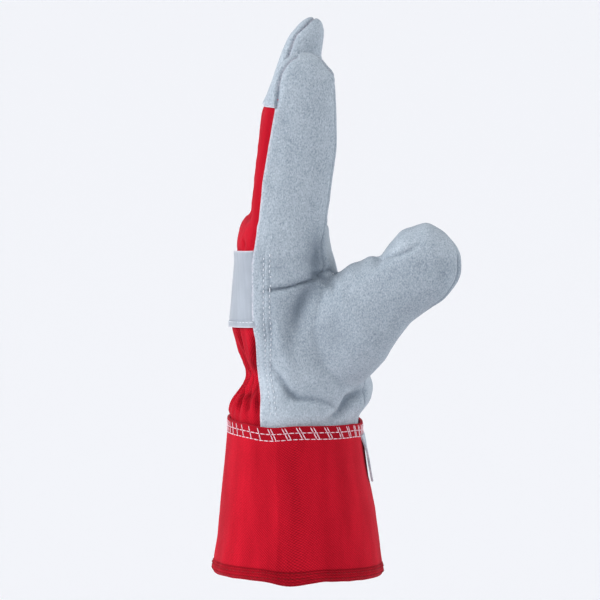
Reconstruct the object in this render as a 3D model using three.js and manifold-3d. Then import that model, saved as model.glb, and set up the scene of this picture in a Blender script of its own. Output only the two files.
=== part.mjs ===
// A left-hand rigger's work glove of split leather and red cotton drill, as worn: fingers up,
// thumb held out in front of the palm. All sizes are in millimetres.
// +Z runs from the cuff's mouth to the fingertips, +X is the palm side, -X the back of the hand,
// -Y the side of the thumb and +Y the side of the little finger.
// The origin is the centre of the cuff's mouth, where the hand goes in.
import * as THREE from "three";
import Module from "manifold-3d";

const wasm = await Module();
wasm.setup();

// Driving dimensions.
const WALL = 2.0; // split leather, or drill with its padding
const SEAM_GAP = 0.35; // air left between two panels that meet at a seam
const SQUARENESS = 2.45; // of the fingers' and the cuff's oval sections; 2 is an ellipse
const HAND_START = 62; // lower end of the hand, tucked inside the cuff
const FINGERS_START = 146; // height inside the hand where the finger tubes begin
const CROTCH = 170.5; // height of the web between the fingers
const FAR_OUT = 75; // farther than any part of the glove from its middle
const PAST = 3; // how far a cutting shape runs past what it cuts

const LEATHER = { color: 0xa5b1bd, roughness: 0.95, metalness: 0 };
const DRILL = { color: 0xb81e2e, roughness: 0.85, metalness: 0 };
const STRAP_GREY = { color: 0xc0c9d4, roughness: 0.6, metalness: 0 };

// The hand from wrist to crotch: a row for each level section, with how far it reaches to the back,
// the palm, the thumb's side and the little finger's side, and how square its corners are.
const HAND = [
  { z: HAND_START, back: -31.2, palm: 28.8, near: -41.0, far: 41.0, square: 2.4 },
  { z: 75.5, back: -31.4, palm: 28.4, near: -41.2, far: 41.2, square: 2.4 },
  { z: 78.5, back: -32.7, palm: 30.4, near: -42.3, far: 42.2, square: 2.4 },
  { z: 83.5, back: -30.9, palm: 34.6, near: -43.0, far: 42.6, square: 2.4 },
  { z: 90.0, back: -26.8, palm: 36.0, near: -43.3, far: 42.2, square: 2.4 },
  { z: 96.0, back: -24.4, palm: 34.2, near: -43.5, far: 42.6, square: 2.4 },
  { z: 104.0, back: -26.8, palm: 29.6, near: -44.3, far: 44.4, square: 2.5 },
  { z: 118.0, back: -31.0, palm: 24.8, near: -46.0, far: 48.2, square: 2.8 },
  { z: 136.0, back: -29.5, palm: 21.6, near: -47.6, far: 50.8, square: 3.1 },
  { z: 150.0, back: -28.2, palm: 18.2, near: -48.6, far: 51.2, square: 3.5 },
  { z: 159.0, back: -29.0, palm: 15.0, near: -49.0, far: 50.6, square: 3.5 },
  { z: 165.0, back: -27.5, palm: 14.2, near: -49.0, far: 49.6, square: 3.5 },
  { z: 168.7, back: -26.0, palm: 13.8, near: -48.8, far: 48.2, square: 3.5 },
  { z: CROTCH, back: -23.6, palm: 13.0, near: -47.8, far: 46.6, square: 3.5 },
];

// Each finger: where its middle line stands at the crotch and at the tip, the height where its
// leather tip cap begins, and a row for each section. seam is how far back the leather reaches.
const FINGERS = {
  index: {
    yCrotch: -37.0,
    yTip: -41.0,
    capStart: 224,
    rows: [
      { z: FINGERS_START, back: -23.5, palm: 13.0, half: 11.4, seam: -20.6 },
      { z: 171, back: -22.2, palm: 13.7, half: 11.6, seam: -20.5 },
      { z: 188, back: -20.7, palm: 15.6, half: 11.9, seam: -18.9 },
      { z: 206, back: -18.6, palm: 18.1, half: 12.0, seam: -16.2 },
      { z: 224, back: -15.8, palm: 18.0, half: 11.9, seam: -12.9 },
      { z: 235, back: -12.6, palm: 17.2, half: 11.3, seam: -10.3 },
      { z: 241.5, back: -9.8, palm: 14.8, half: 10.2, seam: -8.2 },
      { z: 246.3, back: -5.8, palm: 11.2, half: 7.8, seam: -4.5 },
      { z: 249.0, back: -0.4, palm: 7.6, half: 4.0, seam: 1.0 },
    ],
  },
  middle: {
    yCrotch: -12.4,
    yTip: -13.6,
    capStart: 224,
    rows: [
      { z: FINGERS_START, back: -25.0, palm: 13.0, half: 11.4, seam: -20.6 },
      { z: 171, back: -22.5, palm: 13.8, half: 11.4, seam: -20.5 },
      { z: 190, back: -21.0, palm: 16.2, half: 11.7, seam: -18.6 },
      { z: 209, back: -18.6, palm: 17.7, half: 11.8, seam: -16.0 },
      { z: 224, back: -16.9, palm: 17.0, half: 11.6, seam: -13.2 },
      { z: 238, back: -11.4, palm: 14.8, half: 11.1, seam: -8.0 },
      { z: 250, back: -7.1, palm: 11.2, half: 10.2, seam: -3.9 },
      { z: 258.5, back: -3.3, palm: 12.2, half: 8.6, seam: -0.8 },
      { z: 264, back: 0.4, palm: 11.2, half: 6.0, seam: 2.7 },
      { z: 267, back: 4.8, palm: 8.0, half: 2.8, seam: 5.8 },
    ],
  },
  ring: {
    yCrotch: 12.2,
    yTip: 16.0,
    capStart: 222,
    rows: [
      { z: FINGERS_START, back: -25.0, palm: 13.0, half: 11.2, seam: -20.6 },
      { z: 171, back: -22.5, palm: 13.6, half: 11.2, seam: -20.5 },
      { z: 189, back: -20.8, palm: 15.8, half: 11.5, seam: -18.6 },
      { z: 207, back: -18.3, palm: 17.3, half: 11.6, seam: -15.5 },
      { z: 222, back: -15.2, palm: 17.2, half: 11.3, seam: -11.8 },
      { z: 234, back: -11.3, palm: 15.6, half: 10.7, seam: -7.8 },
      { z: 243.5, back: -7.6, palm: 13.4, half: 9.0, seam: -4.6 },
      { z: 249.5, back: -3.4, palm: 11.2, half: 6.2, seam: -1.0 },
      { z: 253, back: 2.0, palm: 8.0, half: 3.0, seam: 3.6 },
    ],
  },
  little: {
    yCrotch: 35.8,
    yTip: 44.5,
    capStart: 201,
    rows: [
      { z: FINGERS_START, back: -24.5, palm: 12.6, half: 10.4, seam: -20.6 },
      { z: 171, back: -22.4, palm: 13.0, half: 10.4, seam: -20.5 },
      { z: 186, back: -20.1, palm: 13.9, half: 10.6, seam: -17.8 },
      { z: 201, back: -16.8, palm: 14.2, half: 10.5, seam: -14.0 },
      { z: 212, back: -12.9, palm: 13.4, half: 9.8, seam: -9.8 },
      { z: 220, back: -9.0, palm: 11.8, half: 8.2, seam: -6.0 },
      { z: 225.5, back: -4.6, palm: 9.6, half: 5.8, seam: -2.2 },
      { z: 228.5, back: 0.6, palm: 6.8, half: 2.6, seam: 2.2 },
    ],
  },
};

// The thumb: a row for each section across its own length, with the section's middle point, the
// slope of the thumb there in degrees, and the half sizes up and down and side to side.
const THUMB = [
  { x: 6.0, y: -25, z: 98.0, slope: 46, half: 16.0, side: 14.0 },
  { x: 18.0, y: -31, z: 113.6, slope: 42, half: 22.4, side: 17.0 },
  { x: 26.0, y: -34, z: 122.8, slope: 39, half: 23.2, side: 18.0 },
  { x: 35.4, y: -37, z: 133.2, slope: 35, half: 20.4, side: 17.2 },
  { x: 42.6, y: -39, z: 139.4, slope: 31, half: 19.0, side: 16.4 },
  { x: 47.6, y: -40, z: 142.2, slope: 27, half: 18.6, side: 15.8 },
  { x: 54.4, y: -41, z: 148.7, slope: 17, half: 20.4, side: 15.6 },
  { x: 63.6, y: -42, z: 151.8, slope: 11, half: 18.8, side: 14.4 },
  { x: 69.6, y: -42.6, z: 151.8, slope: 6, half: 14.2, side: 11.8 },
  { x: 74.2, y: -43, z: 151.0, slope: 3, half: 8.6, side: 7.8 },
  { x: 76.4, y: -43, z: 150.6, slope: 0, half: 3.8, side: 3.6 },
];

// The cuff, a wall of stiffened drill, and its folded hem. slope tilts a section towards the palm,
// and dip lets its near and far sides hang lower than its back and palm sides.
const CUFF_WALL = 1.4;
const HEM_STEP = 0.7;
const INNER_CUFF_ROWS = [0, 4, 5, 7]; // the rows that the plainer inside of the cuff keeps
const CUFF = [
  { z: 2.1, back: -39.0, palm: 40.3, wide: 47.6, slope: -0.05, dip: 1.3, grow: HEM_STEP / 2 },
  { z: 7.0, back: -38.5, palm: 39.9, wide: 47.2, slope: -0.05, dip: 1.3, grow: HEM_STEP },
  { z: 7.6, back: -38.5, palm: 39.7, wide: 47.1, slope: -0.05, dip: 1.3, grow: 0 },
  { z: 20.0, back: -37.6, palm: 38.2, wide: 46.4, slope: -0.05, dip: 0.9, grow: 0 },
  { z: 35.0, back: -36.4, palm: 36.4, wide: 45.3, slope: -0.05, dip: 0.4, grow: 0 },
  { z: 51.0, back: -35.0, palm: 33.0, wide: 44.2, slope: -0.05, dip: 0, grow: 0 },
  { z: 68.0, back: -33.5, palm: 30.9, wide: 43.2, slope: -0.055, dip: 0, grow: 0 },
  { z: 74.6, back: -33.3, palm: 30.5, wide: 43.1, slope: -0.055, dip: 0, grow: 0 },
];

// The strap over the knuckles and the leather guard that hangs from the cuff seam over the pulse.
const STRAP = { thick: 1.5, clear: SEAM_GAP, top: 154.1, bottom: 118.1, risePerY: -0.06 };
const GUARD = { thick: 1.3, clear: SEAM_GAP, top: 66.5, bottom: 45.0, halfTop: 16, halfBottom: 11 };
const GUARD_CORNER = { radius: 8, steps: 6 };

// Valleys and ridges pressed into the hand and thumb: two ends, half width and depth outwards.
const FOLDS = [
  { name: "valley under the thumb seam", a: [4, -50, 141], b: [-2, -48, 116], half: 5, depth: -2.2 },
  { name: "heel crease, upper", a: [-10, -45, 100], b: [-3, -45, 91], half: 3.6, depth: -1.5 },
  { name: "heel crease, lower", a: [-3, -45, 91], b: [15, -42, 86], half: 3.6, depth: -1.8 },
  { name: "wrist pleat", a: [31, -34, 96], b: [19, -38, 80], half: 3.6, depth: -2.4 },
  { name: "thumb web crease", a: [37, -40, 158], b: [50, -50, 156], half: 2.6, depth: -1.6 },
  { name: "palm line by the thumb", a: [21, -10, 150], b: [30, 2, 100], half: 5, depth: -1.8 },
  { name: "palm line across", a: [17, -25, 158], b: [21, 42, 142], half: 4.5, depth: -1.4 },
];

// Gathers of the drill where an elastic draws in the back of the wrist.
const GATHER = { z: 96, reach: 17, pitch: 15, depth: 1.3, xFull: -22, xNone: -13 };

const lerp = THREE.MathUtils.lerp;

// Depth of the folds and gathers at a point, outwards.
function relief(p) {
  let depth = 0;
  for (const fold of FOLDS) {
    const line = new THREE.Line3(new THREE.Vector3(...fold.a), new THREE.Vector3(...fold.b));
    const nearest = line.closestPointToPoint(p, true, new THREE.Vector3());
    depth += fold.depth * Math.exp(-((nearest.distanceTo(p) / fold.half) ** 2));
  }
  const onBack = THREE.MathUtils.smoothstep(-p.x, -GATHER.xNone, -GATHER.xFull);
  const nearElastic = Math.exp(-(((p.z - GATHER.z) / GATHER.reach) ** 2));
  const wave = Math.cos((2 * Math.PI * p.y) / GATHER.pitch);
  return depth + GATHER.depth * wave * onBack * nearElastic;
}

// The outline of one section as a closed three.js curve: an oval whose corners are squared a little.
class Oval extends THREE.Curve {
  constructor(halfU, halfV, square) {
    super();
    this.halfU = halfU;
    this.halfV = halfV;
    this.square = square;
  }

  getPoint(t, target = new THREE.Vector3()) {
    const power = 2 / this.square;
    const c = Math.cos(2 * Math.PI * t);
    const s = Math.sin(2 * Math.PI * t);
    const u = this.halfU * Math.sign(c) * Math.abs(c) ** power;
    const v = this.halfV * Math.sign(s) * Math.abs(s) ** power;
    return target.set(u, v, 0);
  }
}

// Half width of a section across, at a distance u from its middle.
function ovalSide({ halfU, halfV, square }, u) {
  const share = Math.min(1, Math.abs(u / halfU));
  return halfV * (1 - share ** square) ** (1 / square);
}

// A level section from how far it reaches each way, as its middle and half sizes.
function levelSection(row) {
  const { z, back, palm, near, far, slope = 0, dip = 0, grow = 0, square = SQUARENESS } = row;
  return {
    middle: new THREE.Vector3((back + palm) / 2, (near + far) / 2, z),
    u: new THREE.Vector3(1, 0, 0),
    v: new THREE.Vector3(0, 1, 0),
    halfU: (palm - back) / 2 + grow,
    halfV: (far - near) / 2 + grow,
    slope,
    dip,
    square,
  };
}

function fingerMiddle(finger, z) {
  const tip = finger.rows.at(-1).z;
  return lerp(finger.yCrotch, finger.yTip, Math.max(0, (z - CROTCH) / (tip - CROTCH)));
}

function fingerSection(finger, row) {
  const y = fingerMiddle(finger, row.z);
  return levelSection({ ...row, near: y - row.half, far: y + row.half });
}

function thumbSection({ x, y, z, slope, half, side }) {
  const angle = THREE.MathUtils.degToRad(slope);
  return {
    middle: new THREE.Vector3(x, y, z),
    u: new THREE.Vector3(Math.sin(angle), 0, -Math.cos(angle)),
    v: new THREE.Vector3(0, 1, 0),
    halfU: half,
    halfV: side,
    slope: 0,
    dip: 0,
    square: SQUARENESS,
  };
}

// The ring of points around a section, set in or out by grow.
function ring(section, count, grow, pressed) {
  const { middle, u, v, halfU, halfV, slope, dip, square } = section;
  const points = new Oval(halfU + grow, halfV + grow, square).getSpacedPoints(count);
  points.pop();
  return points.map((flat) => {
    const out = u.clone().multiplyScalar(flat.x).addScaledVector(v, flat.y);
    const p = middle.clone().add(out);
    p.z += slope * p.x + dip * ((flat.x / halfU) ** 2 - (flat.y / halfV) ** 2);
    return pressed ? p.addScaledVector(out.normalize(), relief(p)) : p;
  });
}

// A closed skin through a list of rings, with a fan over each end.
function loft(rings) {
  const count = rings[0].length;
  const ends = [rings[0], rings.at(-1)].map((r) =>
    r.reduce((sum, p) => sum.add(p), new THREE.Vector3()).divideScalar(count),
  );
  const position = [...rings.flat(), ...ends].flatMap((p) => p.toArray());
  const firstEnd = rings.length * count;
  const lastRing = firstEnd - count;
  const index = [];
  for (let i = 0; i < count; i += 1) {
    const next = (i + 1) % count;
    for (let row = 0; row < lastRing; row += count) {
      index.push(row + i, row + next, row + count + next);
      index.push(row + i, row + count + next, row + count + i);
    }
    index.push(firstEnd, next, i);
    index.push(firstEnd + 1, lastRing + i, lastRing + next);
  }
  const geometry = new THREE.BufferGeometry();
  geometry.setAttribute("position", new THREE.Float32BufferAttribute(position, 3));
  geometry.setIndex(index);
  return geometry;
}

function solidOf(geometry) {
  const vertProperties = geometry.getAttribute("position").array;
  const triVerts = new Uint32Array(geometry.index.array);
  return new wasm.Manifold(new wasm.Mesh({ numProp: 3, vertProperties, triVerts }));
}

function geometryOf(solid) {
  const mesh = solid.getMesh();
  const geometry = new THREE.BufferGeometry();
  const position = new THREE.BufferAttribute(new Float32Array(mesh.vertProperties), 3);
  geometry.setAttribute("position", position);
  geometry.setIndex(new THREE.BufferAttribute(new Uint32Array(mesh.triVerts), 1));
  geometry.computeVertexNormals();
  return geometry;
}

// An outline drawn across the hand and up, in Y and Z, extruded along X from one place to another.
function prism(outline, xFrom, xTo) {
  const shape = new THREE.Shape(outline.map(([y, z]) => new THREE.Vector2(y, z)));
  const extruded = new THREE.ExtrudeGeometry(shape, { depth: xTo - xFrom, bevelEnabled: false });
  const [x, y, z] = [0, 1, 2].map((axis) => new THREE.Vector3().setComponent(axis, 1));
  extruded.applyMatrix4(new THREE.Matrix4().makeBasis(y, z, x).setPosition(xFrom, 0, 0));
  return solidOf(welded(extruded));
}

// Shared vertices for a geometry whose faces each have their own.
function welded(geometry) {
  const positions = geometry.getAttribute("position");
  const seen = new Map();
  const kept = [];
  const index = [];
  for (let i = 0; i < positions.count; i += 1) {
    const p = new THREE.Vector3().fromBufferAttribute(positions, i);
    const key = p.toArray().map((c) => c.toFixed(4)).join();
    if (!seen.has(key)) {
      seen.set(key, kept.length);
      kept.push(p);
    }
    index.push(seen.get(key));
  }
  const result = new THREE.BufferGeometry().setFromPoints(kept);
  result.setIndex(index);
  return result;
}

// A solid through a list of sections, each set in or out by grow, with the folds pressed in or not.
function blank(sections, count, grow, pressed) {
  return solidOf(loft(sections.map((section) => ring(section, count, grow, pressed))));
}

// A thin curtain along a grid of points, as thick as the gap of a seam. It cuts panels apart.
function curtain(grid) {
  const rows = grid.length;
  const columns = grid[0].length;
  const sides = [[], []];
  for (let i = 0; i < rows; i += 1) {
    for (let j = 0; j < columns; j += 1) {
      const along = grid[Math.min(i + 1, rows - 1)][j].clone().sub(grid[Math.max(i - 1, 0)][j]);
      const across = grid[i][Math.min(j + 1, columns - 1)].clone().sub(grid[i][Math.max(j - 1, 0)]);
      const normal = along.cross(across).normalize();
      sides[0].push(grid[i][j].clone().addScaledVector(normal, SEAM_GAP / 2));
      sides[1].push(grid[i][j].clone().addScaledVector(normal, -SEAM_GAP / 2));
    }
  }
  const points = [...sides[0], ...sides[1]];
  const under = rows * columns;
  const index = [];
  const quad = (a, b, c, d) => index.push(a, b, c, a, c, d);
  for (let i = 0; i + 1 < rows; i += 1) {
    for (let j = 0; j + 1 < columns; j += 1) {
      const at = i * columns + j;
      quad(at, at + columns, at + columns + 1, at + 1);
      quad(under + at, under + at + 1, under + at + columns + 1, under + at + columns);
    }
  }
  for (let i = 0; i + 1 < rows; i += 1) {
    const left = i * columns;
    const right = left + columns - 1;
    quad(left, under + left, under + left + columns, left + columns);
    quad(right, right + columns, under + right + columns, under + right);
  }
  for (let j = 0; j + 1 < columns; j += 1) {
    const last = under - columns + j;
    quad(j, j + 1, under + j + 1, under + j);
    quad(last, under + last, under + last + 1, last + 1);
  }
  const geometry = new THREE.BufferGeometry().setFromPoints(points);
  geometry.setIndex(index);
  return solidOf(geometry);
}

// Seams of the hand.
// The back seam: where the leather stops on the sides of the hand, by height.
const BACK_SEAM = [
  { z: 60, x: -17.0 },
  { z: 88, x: -18.0 },
  { z: 124, x: -20.6 },
  { z: 156, x: -20.6 },
];
const UNDER_WEB = 162; // height inside the hand, below the web between the fingers
const OUTER_SHARES = [0.06, 0.3, 1]; // of the way out from the middle of the hand
// The thumb's top seam on the side of the hand, running from the back seam to the web of the thumb.
const THUMB_TOP_SEAM = [
  { x: -24.0, z: 139.4 },
  { x: -6.0, z: 141.6 },
  { x: 10.7, z: 146.2 },
  { x: 20.5, z: 149.8 },
  { x: 25.0, z: 153.5 },
];
// The seam along the edge of the thumb, from the cuff over the thumb's tip to its web: where it
// stands across the glove, for its lower and its upper run.
const THUMB_EDGE_SEAM = [
  { x: 8.0, yLow: 4.0, yHigh: -35.0 },
  { x: 17.0, yLow: -8.0, yHigh: -35.5 },
  { x: 25.0, yLow: -18.5, yHigh: -36.0 },
  { x: 32.0, yLow: -27.0, yHigh: -36.8 },
  { x: 44.0, yLow: -36.0, yHigh: -39.0 },
  { x: 60.0, yLow: -42.0, yHigh: -42.5 },
  { x: 74.0, yLow: -45.6, yHigh: -45.6 },
  { x: 86.0, yLow: -48.0, yHigh: -48.0 },
];
const EDGE_SEAM_LOW = 96; // height below which the edge seam is on its lower run
const EDGE_SEAM_HIGH = 138; // height above which it is on its upper run
// The seam round the root of the thumb on the palm: a straight line seen from the side.
const THUMB_ROOT_SEAM = { x0: 20.2, z0: 153.0, x1: 38.5, z1: 90.0, yInner: 4 };
const SEAM_LEVELS = { edge: 7, root: 5 }; // points along a curtain of each of these two seams
// The palm-side seam of the index finger's side panel, by height.
const INDEX_FRONT_SEAM = [
  { z: 145.0, x: 10.4 },
  { z: 151.0, x: 12.0 },
  { z: 171.0, x: 12.2 },
  { z: 188.0, x: 14.0 },
  { z: 206.0, x: 16.5 },
  { z: 224.0, x: 16.4 },
  { z: 235.0, x: 15.6 },
  { z: 241.5, x: 13.2 },
  { z: 246.3, x: 9.8 },
  { z: 249.0, x: 6.6 },
  { z: 251.0, x: 6.6 },
];
// The seam under the middle and ring fingers' fronts, with the reach of its cut to the palm.
const FINGER_BASE_SEAM = { z: 166.6, palm: 24 };

// A column of a table at a place between its rows.
function tableAt(table, key, at, column) {
  const after = table.findIndex((row) => row[key] >= at);
  if (after < 1) return table[after < 0 ? table.length - 1 : 0][column];
  const [low, high] = [table[after - 1], table[after]];
  return lerp(low[column], high[column], (at - low[key]) / (high[key] - low[key]));
}

// A row of a seam's curtain on a section: from just past its middle, through the seam's place on the
// skin, to well outside.
const CURTAIN_SHARES = [-0.1, 1, 1.7];
const CAP_CURTAIN_START = 0.1; // of the way out from the middle of the finger
const NARROWEST = 0.8; // least half width at which a seam stands on a fingertip

function radialRow(section, seamX, side) {
  const u = seamX - section.middle.x;
  const v = side * Math.max(NARROWEST, ovalSide(section, u));
  const out = new THREE.Vector3(u, v, 0);
  return CURTAIN_SHARES.map((share) => section.middle.clone().addScaledVector(out, share));
}

const NEIGHBOURS = Object.values(FINGERS);

// Halfway between a finger and its neighbour on one side, or far out beside the hand.
function betweenFingers(finger, side) {
  const neighbour = NEIGHBOURS[NEIGHBOURS.indexOf(finger) + side];
  return neighbour ? (finger.yCrotch + neighbour.yCrotch) / 2 : side * FAR_OUT;
}

// One of the two seams along a finger's back. Those on the hand's two edges go on down to the cuff.
function backSeamCurtain(finger, side) {
  const [, foot, ...rows] = finger.rows;
  const footSection = fingerSection(finger, foot);
  const edge = betweenFingers(finger, side) + side * SEAM_GAP;
  const atEdge = new THREE.Vector3(BACK_SEAM.at(-1).x, edge, 0);
  const rootRow = [...radialRow(footSection, foot.seam, side).slice(0, 2), atEdge];
  const roots = [UNDER_WEB, foot.z].map((z) => rootRow.map((p) => p.clone().setZ(z)));
  const pastTip = { ...rows.at(-1), z: rows.at(-1).z + PAST };
  const onFinger = [...rows, pastTip].map((row) =>
    radialRow(fingerSection(finger, row), row.seam, side),
  );
  const isOuter = Math.abs(edge) > FAR_OUT;
  const onHand = isOuter
    ? BACK_SEAM.map(({ x, z }) => OUTER_SHARES.map((share) => new THREE.Vector3(x, edge * share, z)))
    : [];
  return curtain([...onHand, ...roots, ...onFinger]);
}

// The cross seam under a finger's tip cap, level, between the two seams along its back.
function capCurtain(finger) {
  const row = finger.rows.find(({ z }) => z === finger.capStart);
  const section = fingerSection(finger, row);
  const near = radialRow(section, row.seam, -1).slice(1);
  const far = radialRow(section, row.seam, 1).slice(1);
  const middle = near.map((p, i) => p.clone().add(far[i]).divideScalar(2));
  const inside = (p) => section.middle.clone().lerp(p, CAP_CURTAIN_START);
  middle[1].x -= 2 * PAST;
  return curtain([near, middle, far].map(([onSkin, outside]) => [inside(onSkin), outside]));
}

// The index finger's palm-side seam, cut out from the finger's middle line.
function indexFrontCurtain() {
  const finger = FINGERS.index;
  const columns = ["back", "palm", "half"];
  return curtain(
    INDEX_FRONT_SEAM.map(({ z, x }) => {
      const row = Object.fromEntries(columns.map((c) => [c, tableAt(finger.rows, "z", z, c)]));
      return radialRow(fingerSection(finger, { ...row, z }), x, -1);
    }),
  );
}

function edgeSeamY(x, z) {
  const high = THREE.MathUtils.smoothstep(z, EDGE_SEAM_LOW, EDGE_SEAM_HIGH);
  return lerp(
    tableAt(THUMB_EDGE_SEAM, "x", x, "yLow"),
    tableAt(THUMB_EDGE_SEAM, "x", x, "yHigh"),
    high,
  );
}

function thumbTopCurtain() {
  return curtain(
    THUMB_TOP_SEAM.map(({ x, z }) =>
      [-FAR_OUT, edgeSeamY(x, z) + SEAM_GAP / 2].map((y) => new THREE.Vector3(x, y, z)),
    ),
  );
}

function thumbEdgeCurtain() {
  const levels = SEAM_LEVELS.edge;
  const webEnd = THUMB_TOP_SEAM.at(-1);
  return curtain(
    THUMB_EDGE_SEAM.map(({ x }) => {
      const seamZ = tableAt(THUMB_TOP_SEAM, "x", x, "z") + SEAM_GAP / 2;
      const top = x > webEnd.x ? webEnd.z + FAR_OUT / 2 : seamZ;
      return Array.from({ length: levels }, (_, i) => {
        const z = lerp(HAND_START - PAST, top, i / (levels - 1));
        return new THREE.Vector3(x, edgeSeamY(x, z), z);
      });
    }),
  );
}

function thumbRootCurtain() {
  const { x0, z0, x1, z1, yInner } = THUMB_ROOT_SEAM;
  return curtain(
    Array.from({ length: SEAM_LEVELS.root }, (_, i) => {
      const share = i / (SEAM_LEVELS.root - 1);
      const [x, z] = [lerp(x0, x1, share), lerp(z0, z1, share)];
      return [edgeSeamY(x, z) - SEAM_GAP / 2, yInner].map((y) => new THREE.Vector3(x, y, z));
    }),
  );
}

// The level seam under the middle and ring fingers' fronts, and the short seams in their crotches.
function fingerBaseCurtains() {
  const edges = NEIGHBOURS.slice(0, -1).map((finger) => betweenFingers(finger, 1));
  const xs = [BACK_SEAM.at(-1).x, FINGER_BASE_SEAM.palm];
  const level = curtain(
    xs.map((x) => [edges[0], edges[2]].map((y) => new THREE.Vector3(x, y, FINGER_BASE_SEAM.z))),
  );
  const zs = [FINGER_BASE_SEAM.z - SEAM_GAP / 4, CROTCH + PAST / 2];
  const upright = edges.map((y) =>
    curtain(xs.map((x) => zs.map((z) => new THREE.Vector3(x, y, z)))),
  );
  return [level, ...upright];
}

// The glove's skin: every outer blank joined, less every inner one, then cut apart along its seams.
const RING_POINTS = { hand: 40, finger: 16, thumb: 18, cuff: 36 };
const INNER_POINTS = { hand: 28, finger: 10, thumb: 12 };

// The sections of a hollow: moved back from the far end by the wall, and past the near end if open.
function hollowSections(sections, openDown) {
  const inner = sections.map((section) => ({ ...section, middle: section.middle.clone() }));
  const last = inner.at(-1);
  const axis = last.u.clone().cross(last.v);
  inner.forEach((section) => {
    const left = last.middle.clone().sub(section.middle).dot(axis);
    if (left < WALL) section.middle.addScaledVector(axis, left - WALL);
  });
  inner[0].middle.addScaledVector(axis, openDown ? -2 * PAST : 0);
  return inner;
}

function skinParts() {
  const hand = HAND.map(levelSection);
  const limbs = NEIGHBOURS.map((finger) => ({
    sections: finger.rows.map((row) => fingerSection(finger, row)),
    limb: "finger",
  }));
  limbs.push({ sections: THUMB.map(thumbSection), limb: "thumb" });
  let outer = blank(hand, RING_POINTS.hand, 0, true);
  let inner = blank(hollowSections(hand, true), INNER_POINTS.hand, -WALL, true);
  for (const { sections, limb } of limbs) {
    outer = outer.add(blank(sections, RING_POINTS[limb], 0, true));
    inner = inner.add(blank(hollowSections(sections, false), INNER_POINTS[limb], -WALL, true));
  }
  const cuts = [
    ...NEIGHBOURS.flatMap((finger) => [-1, 1].map((side) => backSeamCurtain(finger, side))),
    ...NEIGHBOURS.map(capCurtain),
    thumbTopCurtain(),
    thumbEdgeCurtain(),
    thumbRootCurtain(),
    indexFrontCurtain(),
    ...fingerBaseCurtains(),
  ];
  const skin = cuts.reduce((rest, cut) => rest.subtract(cut), outer.subtract(inner));
  return skin.decompose();
}

// A point on the outside of each panel, by which it is found among the cut pieces.
const PANELS = {
  back_drill: [-29, 0, 140],
  palm_leather: [22, 15, 136],
  index_side_leather: [0, -49, 200],
  thumb_front_leather: [30, -54, 125],
  thumb_back_leather: [60, -28, 148],
  middle_front_leather: [17.5, -13, 205],
  ring_front_leather: [17, 14, 205],
  index_tip_cap: [-13, -40, 234],
  middle_tip_cap: [-12, -13, 236],
  ring_tip_cap: [-11.5, 15, 233],
  little_tip_cap: [-11.5, 42, 215],
};

function nearestPiece(pieces, at) {
  const target = new THREE.Vector3(...at);
  let best = { distance: Infinity };
  for (const piece of pieces) {
    const { vertProperties } = piece.getMesh();
    for (let i = 0; i < vertProperties.length; i += 3) {
      const distance = target.distanceTo(new THREE.Vector3().fromArray(vertProperties, i));
      if (distance < best.distance) best = { piece, distance };
    }
  }
  return best.piece;
}

const glove = new THREE.Group();

function addPart(name, solid, look) {
  const mesh = new THREE.Mesh(geometryOf(solid), new THREE.MeshStandardMaterial(look));
  mesh.name = name;
  glove.add(mesh);
}

const pieces = skinParts();
for (const [name, at] of Object.entries(PANELS)) {
  addPart(name, nearestPiece(pieces, at), name === "back_drill" ? DRILL : LEATHER);
}

// The cuff: a flared wall with a doubled hem, lapped over the lower edge of the hand.
function cuffSections(withHem) {
  return CUFF.map((row) =>
    levelSection({ ...row, near: -row.wide, far: row.wide, grow: withHem ? row.grow : 0 }),
  );
}

function cuffSolid() {
  const inner = cuffSections(false).filter((section, i) => INNER_CUFF_ROWS.includes(i));
  inner[0].middle.z -= PAST;
  inner.at(-1).middle.z += PAST;
  const outside = blank(cuffSections(true), RING_POINTS.cuff, 0, false);
  return outside.subtract(blank(inner, RING_POINTS.cuff, -CUFF_WALL, false));
}
addPart("cuff_drill", cuffSolid(), DRILL);

// The strap: a layer over the back of the hand between two slanting edges.
function strapSolid() {
  const { thick, clear, top, bottom, risePerY } = STRAP;
  const sections = HAND.map(levelSection);
  const layer = blank(sections, RING_POINTS.hand, clear + thick, true).subtract(
    blank(hollowSections(sections, true), RING_POINTS.hand, clear, true),
  );
  const edge = (z) => [-FAR_OUT, FAR_OUT].map((y) => [y, z + risePerY * y]);
  const outline = [...edge(bottom), ...edge(top).reverse()];
  return layer.intersect(prism(outline, -FAR_OUT, BACK_SEAM.at(-1).x - SEAM_GAP));
}
addPart("knuckle_strap", strapSolid(), STRAP_GREY);

// The pulse guard: a tongue of leather that hangs outside the cuff on the palm side.
function guardSolid() {
  const { thick, clear, top, bottom, halfTop, halfBottom } = GUARD;
  const sections = cuffSections(false);
  const layer = blank(sections, RING_POINTS.cuff, clear + thick, false).subtract(
    blank(sections, RING_POINTS.cuff, clear, false),
  );
  const { radius, steps } = GUARD_CORNER;
  const corner = Array.from({ length: steps + 1 }, (_, i) => {
    const turn = (Math.PI / 2) * (i / steps);
    return [halfBottom - radius * (1 - Math.sin(turn)), bottom + radius * (1 - Math.cos(turn))];
  });
  const mirrored = corner.map(([y, z]) => [-y, z]).reverse();
  const outline = [...corner, [halfTop, top], [-halfTop, top], ...mirrored];
  return layer.intersect(prism(outline, 0, FAR_OUT));
}
addPart("pulse_guard", guardSolid(), LEATHER);

export default glove;
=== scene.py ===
# %% [markdown]
# # A rigger's work glove, left hand
#
# This glove is sewn from flat panels: grey split leather for the palm, the fingertips and the thumb,
# red cotton drill for the back and the stiff cuff, and a smooth strap over the knuckles.
# The exact model gives each panel its place, but in flat facets. This lesson turns those facets into
# soft leather and cloth: it wraps one even skin round the solids, presses seams and folds into it,
# cuts it into the panels again, and then adds thread, weave and nap.

import math

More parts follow.
